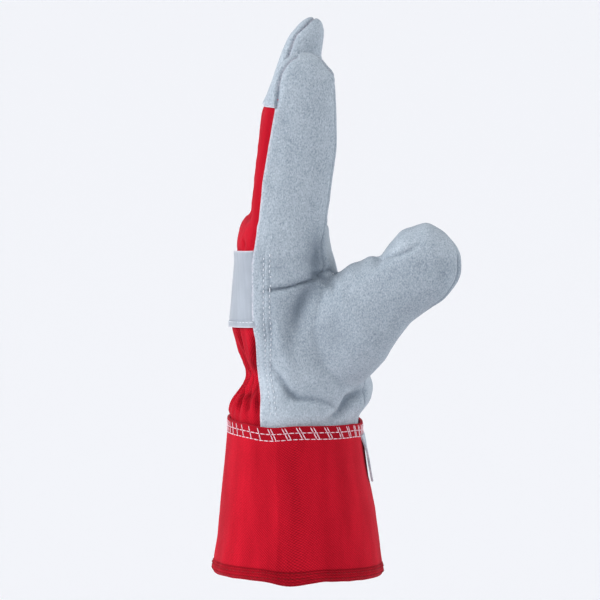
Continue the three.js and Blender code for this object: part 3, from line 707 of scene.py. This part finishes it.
# %% Mark the cuff and give it its wall
at_rim = up > top - 0.1 * MM
rim_turn = np.arctan2(y[at_rim], x[at_rim] - RIM_MIDDLE)
rim_z = z[at_rim]
mean_cuff_radius = 43 * MM
seam_shade = 0.4 * smooth_step(top - 6.5 * MM, top - 5.9 * MM, up)
hem_shade = np.maximum(0.9 * hem_line, in_hem * (0.42 - 0.25 * bands))
marked(cuff, weave=np.stack([angle * mean_cuff_radius, up, 0 * up], axis=1), dark=seam_shade + hem_shade)
cuff_surface = tree_of(cuff)
finished_wall(cuff, CUFF_WALL)
print("cuff:", len(cuff.data.polygons), "faces")

# %% [markdown]
# ## The strap and the pulse guard
#
# Both are flat pieces that lie on what carries them, so each starts as a flat grid. The strap's is
# bent round the back of the hand and shrinkwrapped onto the skin. The guard is a leather tongue sewn
# into the cuff's seam over the pulse. Its grid is narrowed towards its round lower end and
# shrinkwrapped onto the cuff.

# %% Make the strap
STRAP = {"top": 154.1 * MM, "bottom": 118.1 * MM, "slope": -0.06, "wall": 0.7 * MM, "lift": 1.7 * MM}
STRAP_ARC = {"x": -4 * MM, "half_x": 38 * MM, "half_y": 56 * MM, "near": -61.5, "far": 62.5}
STRAP_GRID = (150, 72)
STRAP_HEM = 3.3 * MM
BOTH_WAYS = {"wrap_method": "PROJECT", "use_negative_direction": True, "use_positive_direction": True}


def grid(name, columns, rows):
    """A flat square grid from -0.5 to 0.5, and its points."""
    choose()
    bpy.ops.mesh.primitive_grid_add(x_subdivisions=columns, y_subdivisions=rows, size=1)
    bpy.context.object.name = name
    return bpy.context.object, points_of(bpy.context.object)


def strap_arc(turn, rise):
    """Places on the oval that the strap is bent to, by turn and by height over its lower edge."""
    x = STRAP_ARC["x"] - STRAP_ARC["half_x"] * np.cos(turn)
    y = STRAP_ARC["half_y"] * np.sin(turn)
    return np.stack([x, y, STRAP["bottom"] + rise + STRAP["slope"] * y], axis=1)


strap, flat = grid("knuckle_band", *STRAP_GRID)
turn = np.radians(STRAP_ARC["far"] + (flat[:, 0] + 0.5) * (STRAP_ARC["near"] - STRAP_ARC["far"]))
rise = (flat[:, 1] + 0.5) * (STRAP["top"] - STRAP["bottom"])
place(strap, strap_arc(turn, rise))
modified(strap, "SHRINKWRAP", target=skin, **BOTH_WAYS)
wrapped_points = points_of(strap)
calm = Net(strap).evened(wrapped_points, 60)
calm[:, 2] = wrapped_points[:, 2]
place(strap, calm)
end = np.minimum(flat[:, 0] + 0.5, 0.5 - flat[:, 0])
hem = smooth_step(STRAP_HEM + 0.3 * MM, STRAP_HEM - 0.2 * MM, rise)
stitch_groove = bell(rise, 0.5 * MM, STRAP_HEM)
lift = STRAP["lift"] * smooth_step(0, 0.07, end) + 0.1 * MM
lift += (0.25 * hem - 0.3 * stitch_groove) * MM + 0.15 * MM * unevenness(calm, 18 * MM, 6)
place(strap, calm + lift[:, None] * points_of(strap, "normal"))
# the stitch groove gets painted shade through the dark mark
marked(strap, weave=np.stack([turn * STRAP_ARC["half_y"], rise, 0 * rise], axis=1),
       dark=0.6 * stitch_groove, raw=bell(np.minimum(rise, rise.max() - rise), 0.5 * MM))
strap_surface = tree_of(strap)
finished_wall(strap, STRAP["wall"])
print("strap:", round(STRAP["top"] / MM - STRAP["bottom"] / MM), "mm wide")

# %% Make the pulse guard
GUARD = {"top": 68 * MM, "bottom": 45 * MM, "half_top": 16 * MM, "half_bottom": 11 * MM, "round": 7 * MM}
GUARD_WALL = 0.9 * MM
GUARD_LIFT, GUARD_CURL = 0.55 * MM, 1.3 * MM  # how far it stands off the cuff, and how much more below
GUARD_GRID = (56, 32)

guard, flat = grid("wrist_guard", *GUARD_GRID)
above_tip = (flat[:, 1] + 0.5) * (GUARD["top"] - GUARD["bottom"])
slant = above_tip / above_tip.max()
half = GUARD["half_bottom"] + (GUARD["half_top"] - GUARD["half_bottom"]) * slant
missing = np.maximum(GUARD["round"] - above_tip, 0)
half -= GUARD["round"] - np.sqrt(GUARD["round"] ** 2 - missing**2)
place(guard, np.stack([np.full(len(flat), FAR), 2 * flat[:, 0] * half, GUARD["bottom"] + above_tip], axis=1))
modified(guard, "SHRINKWRAP", target=cuff, use_project_x=True, **BOTH_WAYS)
laid = points_of(guard)
middle = np.abs(flat[:, 0]) < 0.03
straight = np.interp(above_tip, np.sort(above_tip[middle]), laid[middle, 0][np.argsort(above_tip[middle])])
laid[:, 0] += (straight - laid[:, 0]) * smooth_step(1, 0.6, slant)
laid[:, 0] += GUARD_LIFT + GUARD_CURL * np.sqrt(1 - slant) + 0.15 * MM * unevenness(laid, 9 * MM, 7)
place(guard, laid)
rim_near = np.minimum(half - np.abs(laid[:, 1]), above_tip)
marked(guard, raw=0.6 * bell(rim_near, RAW_EDGE), dark=0 * above_tip)
finished_wall(guard, GUARD_WALL)
print("guard:", [round(s / MM) for s in guard.dimensions], "mm")

# %% [markdown]
# ## Thread
#
# Each stitch that shows is a short plump bit of thread that dips into the cloth at both ends.
# One is modelled from a small sphere with few faces. Hundreds of copies are laid along paths on the
# surface and joined, so a whole row of stitches is one mesh. A texture could draw them as well, but
# real thread stands up a little and throws its own small shadow.

# %% Make one stitch and a way to lay many
choose()
bpy.ops.mesh.primitive_uv_sphere_add(segments=8, ring_count=6, radius=1)
stitch = bpy.context.object
STITCH_POINTS = points_of(stitch)
STITCH_FACES = [face.vertices[:] for face in stitch.data.polygons]
bpy.data.objects.remove(stitch)


def sewn(name, spans, width):
    """One mesh of many stitches, each from one point to another on a surface with its normal."""
    points, faces = [], []
    for a, b, normal in spans:
        along = (b - a) / 2
        side = along.normalized().cross(normal).normalized() * width / 2
        up = along.normalized().cross(side.normalized()) * width / 2
        first = len(points) * len(STITCH_POINTS)
        axes = np.array([side, up, along])
        points.append(STITCH_POINTS @ axes + np.array((a + b) / 2 + 0.12 * width * normal))
        faces += [[corner + first for corner in face] for face in STITCH_FACES]
    item = built(name, np.concatenate(points), faces)
    turned_outwards(item)
    bpy.ops.object.shade_smooth()
    print(name, len(spans), "stitches")
    return item


def laid_on(surface, point):
    """The nearest spot of a surface to a point, with its normal."""
    return surface.find_nearest(point)[:2]


def run_along(surface, path, thread):
    """Running stitches along a path on a surface, with a thread's length and gap."""
    length, gap = thread["length"], thread["gap"]
    fine_path = followed(path, 0.25 * MM)
    travelled = np.concatenate([[0], np.cumsum([(b - a).length for a, b in zip(fine_path, fine_path[1:])])])
    spans = []
    for start in np.arange(0, travelled[-1] - length, length + gap):
        i, j = np.searchsorted(travelled, [start, start + length])
        a, normal = laid_on(surface, fine_path[i])
        spans.append((a, laid_on(surface, fine_path[j])[0], normal))
    return spans


print("one stitch has", len(STITCH_FACES), "faces")

# %% [markdown]
# ## The rows of stitches
#
# The leather is topstitched to the drill with two white rows along its edge. The cuff is joined on
# with a ladder: two rows run round the seam and short leaning stitches tie them together, in pairs
# on the leather side. The strap has one row above its lower edge, and the hem two rows of red.

# %% Topstitch the leather's edge
TOPSTITCH = {"length": 1.4 * MM, "gap": 1.2 * MM, "width": 0.62 * MM}


def inset_line(inset, side):
    """The line on the skin that keeps a distance from the drill's edge, on one side of the hand."""
    _, a, b, share = clipped(from_drill - inset)
    line = carried(skin_points, a, b, share)[len(skin_points):]
    low, high = STITCHED_HEIGHTS
    line = line[(line[:, 1] * side > 20 * MM) & (line[:, 2] > low) & (line[:, 2] < high)]
    return [Vector(p) for p in line[np.argsort(line[:, 2])]]


def thinned(path, step):
    """The points of a path that are at least a step apart, to steady it."""
    kept = [path[0]]
    for point in path:
        if (point - kept[-1]).length > step:
            kept.append(point)
    return kept


spans = []
for side, nodes in ((-1, ("thumb_front_leather", "index_side_leather")), (1, ("palm_leather",))):
    surface = tree_of(*[panels[node] for node in nodes])
    for inset in STITCH_INSETS:
        path = thinned(inset_line(inset, side), 4 * MM)
        spans += run_along(surface, path, TOPSTITCH)
topstitch = sewn("edge_topstitch", spans, TOPSTITCH["width"])

# %% Sew the ladder round the cuff
LADDER = {"drop": 6.1 * MM, "middle": 3.1 * MM, "width": 0.5 * MM, "length": 2.6 * MM, "gap": 0.25 * MM}
RUNGS_ON_DRILL = {"step": 5.4 * MM, "pair": 0, "lean": 2.1 * MM}
RUNGS_ON_LEATHER = {"step": 6.7 * MM, "pair": 1.4 * MM, "lean": 3.1 * MM}
DRILL_HALF_ARC = math.radians(66)  # how far round from the middle of the back the drill reaches


def cuff_spot(turn, below_top):
    """A point on the cuff's outside with its normal, by the turn from the palm side and the drop."""
    direction = Vector((math.cos(turn), math.sin(turn), 0))
    rim = rim_z[np.argmin(np.abs(np.angle(np.exp(1j * (rim_turn - turn)))))]
    start = Vector((RIM_MIDDLE, 0, rim - below_top)) + FAR * direction
    return cuff_surface.ray_cast(start, -direction)[:2]


def rung(turn, lean):
    """Two stitches, one above the other, that lean sideways by an angle."""
    high, normal = cuff_spot(turn, 0.5 * MM)
    middle, _ = cuff_spot(turn + lean / 2, LADDER["middle"])
    low, _ = cuff_spot(turn + lean, LADDER["drop"])
    return [(high, middle, normal), (middle, low, normal)]


spans = []
for drop in (LADDER["middle"], LADDER["drop"]):
    ring_path = [cuff_spot(turn, drop)[0] for turn in np.linspace(0, 2 * math.pi, 240)]
    spans += run_along(cuff_surface, ring_path, LADDER)
turn = 0.0
while turn < 2 * math.pi:
    on_back = abs(turn - math.pi) < DRILL_HALF_ARC
    kind = RUNGS_ON_DRILL if on_back else RUNGS_ON_LEATHER
    lean = kind["lean"] / mean_cuff_radius
    spans += rung(turn, lean)
    if kind["pair"]:
        spans += rung(turn + kind["pair"] / mean_cuff_radius, lean)
    turn += kind["step"] / mean_cuff_radius
ladder = sewn("ladder_stitch", spans, LADDER["width"])

# %% Stitch the strap
STRAP_STITCH = {"length": 1.9 * MM, "gap": 0.8 * MM, "width": 0.42 * MM}

turns = np.radians(np.linspace(STRAP_ARC["near"] + 1, STRAP_ARC["far"] - 1, 90))
strap_path = [laid_on(strap_surface, Vector(spot))[0] for spot in strap_arc(turns, STRAP_HEM)]
spans = run_along(strap_surface, strap_path, STRAP_STITCH)
strap_stitch = sewn("strap_stitch", spans, STRAP_STITCH["width"])

# %% Stitch the hem
HEM_ROWS = (1.5 * MM, 3.9 * MM)
HEM_STITCH = {"length": 2.3 * MM, "gap": 0.5 * MM, "width": 0.38 * MM}

spans = []
for row in HEM_ROWS:
    ring_path = []
    for turn in np.linspace(0, 2 * math.pi, 240):
        out = Vector((math.cos(turn) * 60 * MM, math.sin(turn) * 60 * MM, row))
        out.z += CUFF_HEM["z"] + CUFF_HEM["slope"] * out.x * 0.7
        ring_path.append(cuff_surface.ray_cast(out, Vector((-out.x, -out.y, 0)).normalized())[0])
    spans += run_along(cuff_surface, ring_path, HEM_STITCH)
hem_stitch = sewn("hem_stitch", spans, HEM_STITCH["width"])

# %% [markdown]
# ## Maths with sockets
#
# A material is a net of nodes, and long node sums are hard to read. This small class wraps one
# output socket, so that `1 - mask` or `height * 0.5` adds the Math node by itself. Every other kind
# of node comes from one method, which is given the node's type, its settings and its inputs.

# %% A socket that can be calculated with
class Signal:
    """One output of a node. Arithmetic on it adds Math nodes to its material."""

    def __init__(self, tree, socket=None):
        self.tree, self.socket = tree, socket

    def node(self, kind, settings=None, inputs=None, output=0):
        made = self.tree.nodes.new("ShaderNode" + kind)
        for name, value in (settings or {}).items():
            setattr(made, name, value)
        for name, value in (inputs or {}).items():
            if isinstance(value, Signal):
                self.tree.links.new(value.socket, made.inputs[name])
            else:
                made.inputs[name].default_value = value
        return Signal(self.tree, made.outputs[output])

    def math(self, operation, *values):
        return self.node("Math", {"operation": operation}, dict(enumerate(values)))

    def part(self, index):
        """One of the three parts of a vector."""
        return self.node("SeparateXYZ", {}, {0: self}, index)

    def __add__(self, other):
        return self.math("ADD", self, other)

    def __sub__(self, other):
        return self.math("SUBTRACT", self, other)

    def __rsub__(self, other):
        return self.math("SUBTRACT", other, self)

    def __mul__(self, other):
        return self.math("MULTIPLY", self, other)

    __radd__, __rmul__ = __add__, __mul__

    def ripple(self, pitch):
        """A sine of it, from 0 to 1, that repeats after a pitch."""
        turns = self * (2 * math.pi / pitch)
        return turns.math("SINE", turns) * 0.5 + 0.5

    def between(self, low, high):
        """0 below low, 1 above high and smooth between."""
        settings = {"interpolation_type": "SMOOTHSTEP"}
        return self.node("MapRange", settings, {"Value": self, "From Min": low, "From Max": high})

    def blend(self, low, high):
        """One colour where this is 0 and the other where it is 1."""
        return self.node("Mix", {"data_type": "RGBA"}, {0: self, 6: low, 7: high}, 2)


def paint(red, green, blue):
    """A colour as seen on a screen, 0 to 255, turned into the light values that Blender mixes."""
    channels = [c / 255 for c in (red, green, blue)]
    return (*[c / 12.92 if c <= 0.04045 else ((c + 0.055) / 1.055) ** 2.4 for c in channels], 1)


class Finish:
    """A material with its shader's constants set, and the sources that its pattern starts from."""

    def __init__(self, name, **constants):
        self.material = bpy.data.materials.new(name)
        self.material.use_nodes = True
        tree = self.material.node_tree
        self.shader = tree.nodes["Principled BSDF"]
        for socket, value in constants.items():
            self.shader.inputs[socket.replace("_", " ")].default_value = value
        self.start = Signal(tree)
        self.place = self.start.node("TexCoord", output="Object")

    def mark(self, name, output="Fac"):
        return self.start.node("Attribute", {"attribute_name": name}, output=output)

    def speckle(self, size, detail, place=None):
        """Noise with bumps of a size in millimetres."""
        inputs = {"Vector": place or self.place, "Scale": 1 / (size * MM), "Detail": detail}
        return self.start.node("TexNoise", {}, inputs)

    def stretched(self, along, scale):
        """The place with one direction drawn out, for fibres and brushed threads."""
        return self.start.node("Mapping", {}, {"Vector": along, "Scale": scale})

    def wear(self, colour, height, depth, strength):
        """Connects the colour and the small relief, whose depth is in millimetres."""
        links = self.shader.id_data.links
        links.new(colour.socket, self.shader.inputs["Base Color"])
        inputs = {"Height": height, "Distance": depth * MM, "Strength": strength}
        bump = self.start.node("Bump", {}, inputs)
        links.new(bump.socket, self.shader.inputs["Normal"])
        return self.material


print("a mid grey is", [round(c, 3) for c in paint(128, 128, 128)[:3]])

# %% [markdown]
# ## Split leather
#
# Split leather has no smooth grain. Both of its faces are a short nap of fibres that lie this way
# and that, so its colour is mottled in patches and speckled finely, and it hardly shines at all.
# Noise of four sizes gives the nap. Creases, seam grooves and stitch dents are painted darker as painted
# shade, the leather is painted lighter towards the wrist as painted light, and a raw cut edge is paler,
# because the dye has not soaked in as deeply.

# %% The leather's finish
def split_leather():
    finish = Finish("split_leather_nap", Roughness=0.96, Specular_IOR_Level=0.15, Sheen_Weight=0.08,
                    Sheen_Roughness=0.6)
    fibre_place = finish.stretched(finish.place, (1, 1, 0.45))
    patches = finish.speckle(9, 3)
    nap = finish.speckle(0.85, 3)
    fibres = finish.speckle(0.45, 2, fibre_place)
    flecks = finish.speckle(0.7, 2, fibre_place).between(0.62, 0.72)
    # painted light: the leather is lighter towards the wrist, where more light falls
    painted_light_towards_wrist = 1 - finish.place.part(2).between(88 * MM, 118 * MM)  # paler towards the wrist
    tone = 0.5 + (patches - 0.5) * 0.35 + (nap - 0.5) + (fibres - 0.5) * 1.2 + painted_light_towards_wrist * 0.14
    colour = tone.blend(paint(123, 137, 150), paint(193, 203, 213))
    colour = (flecks * 0.35).blend(colour, paint(212, 219, 227))
    # painted shade from the dark mark: folds, seam grooves and stitch dents
    colour = (finish.mark("dark") * 0.66).blend(colour, paint(86, 100, 115))
    colour = (finish.mark("raw") * nap.between(0.3, 0.6) * 0.65).blend(colour, paint(214, 208, 218))
    height = nap * 0.55 + fibres * 0.35 + patches * 0.5
    return finish.wear(colour, height, 0.55, 0.8)


LEATHER = split_leather()
print("leather nodes:", len(LEATHER.node_tree.nodes))

# %% [markdown]
# ## Cotton drill
#
# Drill is a twill: each weft thread passes over several warps and shifts by one in every row, which
# draws fine diagonal ribs. The ribs follow the cloth and not the room, so they are drawn along the
# weave attribute that was stored on the sheets. A sine across the diagonal gives the ribs, a second
# one breaks them into threads, and noise adds the slight fade and fuzz of worn cotton.

# %% The drill's finish
TWILL_PITCH = 1.2 * MM


def red_drill():
    finish = Finish("red_drill_twill", Roughness=0.85, Specular_IOR_Level=0.05, Sheen_Weight=0.35,
                    Sheen_Roughness=0.4, Sheen_Tint=paint(255, 110, 125))
    weave = finish.mark("weave", "Vector")
    along, up = weave.part(0), weave.part(1)
    rib = (along * 0.8 + up).ripple(TWILL_PITCH)
    thread = (along - up * 0.7).ripple(TWILL_PITCH / 1.15)
    slub = finish.speckle(0.7, 3, finish.stretched(weave, (0.7, 1, 1)))
    fade = finish.speckle(11, 3, finish.stretched(finish.place, (1, 1, 0.22)))
    tone = 0.5 + (rib - 0.5) * 0.38 + (thread - 0.5) * 0.28 + (slub - 0.5) * 0.5 + (fade - 0.5) * 0.8
    colour = tone.blend(paint(122, 3, 18), paint(217, 27, 49))
    # painted shade: the bottom of folds and gathers, the band under the cuff's top seam, and the hem
    colour = (finish.mark("dark") * 0.9).blend(colour, paint(92, 3, 12))
    height = rib * 0.6 + thread * 0.25 + slub * 0.3
    return finish.wear(colour, height, 0.16, 0.7)


DRILL = red_drill()
print("drill nodes:", len(DRILL.node_tree.nodes))

# %% [markdown]
# ## Strap and thread
#
# The strap is a smooth coated cloth, cooler in colour than the leather, with a dull shine and only
# faint upright shading. Thread is twisted from two strands, so fine noise makes it lighter and
# darker in small bands.

# %% The strap's and the threads' finishes
def coated_strap():
    finish = Finish("coated_strap_cloth", Roughness=0.5, Sheen_Weight=0.1, Coat_Weight=0.08,
                    Coat_Roughness=0.4)
    weave = finish.mark("weave", "Vector")
    brushed = finish.speckle(3, 2, finish.stretched(weave, (1, 0.12, 1)))
    grain = finish.speckle(0.5, 2)
    cloudy = finish.speckle(16, 2)
    tone = 0.5 + (brushed - 0.5) * 0.7 + (cloudy - 0.5) * 0.7 + (grain - 0.5) * 0.35
    colour = tone.blend(paint(128, 137, 149), paint(168, 176, 187))
    # painted shade in the groove of the strap's stitching
    colour = (finish.mark("dark") * 0.6).blend(colour, paint(126, 134, 150))
    colour = (finish.mark("raw") * 0.6).blend(colour, paint(222, 216, 226))
    return finish.wear(colour, grain * 0.5 + brushed, 0.12, 0.5)


def sewing_thread(name, light, deep):
    finish = Finish(name, Roughness=0.7, Specular_IOR_Level=0.15, Sheen_Weight=0.04)
    twist = finish.speckle(0.35, 1)
    colour = twist.between(0.35, 0.6).blend(deep, light)
    return finish.wear(colour, twist, 0.08, 0.8)


COATED = coated_strap()
PINK_THREAD = sewing_thread("pinkish_thread", paint(240, 218, 226), paint(202, 160, 174))
WHITE_THREAD = sewing_thread("white_thread", paint(228, 232, 238), paint(172, 182, 194))
RED_THREAD = sewing_thread("red_thread", paint(148, 10, 26), paint(92, 3, 12))
print("materials:", len(bpy.data.materials))

# %% [markdown]
# ## Hand the pieces over
# Each new piece gets its material and rides on the glove's one body, and the exact solids that it
# stands for are hidden. Stitches stand for no solid, so they only get their material and ride along.

# %% Dress every piece and hide the solids it stands for
def handed_over(item, material, slot, *nodes):
    item.data.materials.clear()
    item.data.materials.append(material)
    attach(item, "root")
    if nodes:
        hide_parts(*nodes)


bpy.data.objects.remove(skin)
for node, item in panels.items():
    material, slot = (DRILL, "red_drill") if node == "back_drill" else (LEATHER, "split_leather")
    handed_over(item, material, slot, node)
handed_over(cuff, DRILL, "red_drill", "cuff_drill")
handed_over(strap, COATED, "strap_grey", "knuckle_strap")
handed_over(guard, LEATHER, "split_leather", "pulse_guard")
handed_over(topstitch, WHITE_THREAD, "thread")
handed_over(strap_stitch, WHITE_THREAD, "thread")
handed_over(ladder, PINK_THREAD, "thread")
handed_over(hem_stitch, RED_THREAD, "thread")

# %% [markdown]
# ## Floor and light
#
# Nothing carries the glove in the picture, so the floor lies a little below its mouth. It is a
# very large pale plane, which fills the picture behind the glove evenly. Soft light comes from
# broad suns on both sides and a pale sky: suns, unlike lamps, light the far floor evenly too.

# %% Light the scene
FLOOR_DROP = -60 * MM
FLOOR_SIZE = 400
SKY = {"colour": paint(248, 250, 255), "strength": 0.3}
SUNS = {  # where each shines from, how strongly, and how wide it is in degrees
    "left_sun": ((-3, -0.9, 1.2), 2.7, 45),
    "right_sun": ((3, -0.15, 1.1), 1.5, 45),
    "front_sun": ((-1, -3, 1.4), 0.6, 80),
    "top_sun": ((0, 0.4, 3), 0.45, 60),
}

choose()
bpy.ops.mesh.primitive_plane_add(size=FLOOR_SIZE, location=(0, 0, FLOOR_DROP))
floor = bpy.context.object
floor.name = "floor"
floor_finish = Finish("pale_floor", Roughness=0.9, Base_Color=paint(248, 249, 253))
floor.data.materials.append(floor_finish.material)

world = bpy.data.worlds.new("sky")
world.use_nodes = True
sky = world.node_tree.nodes["Background"]
sky.inputs["Color"].default_value = SKY["colour"]
sky.inputs["Strength"].default_value = SKY["strength"]
bpy.context.scene.world = world

for name, (source, energy, spread) in SUNS.items():
    lamp = shown(name, bpy.data.lights.new(name, "SUN"))
    lamp.data.energy = energy
    lamp.data.angle = math.radians(spread)
    lamp.rotation_euler = Vector(source).to_track_quat("Z", "Y").to_euler()
print("lights:", len(SUNS))
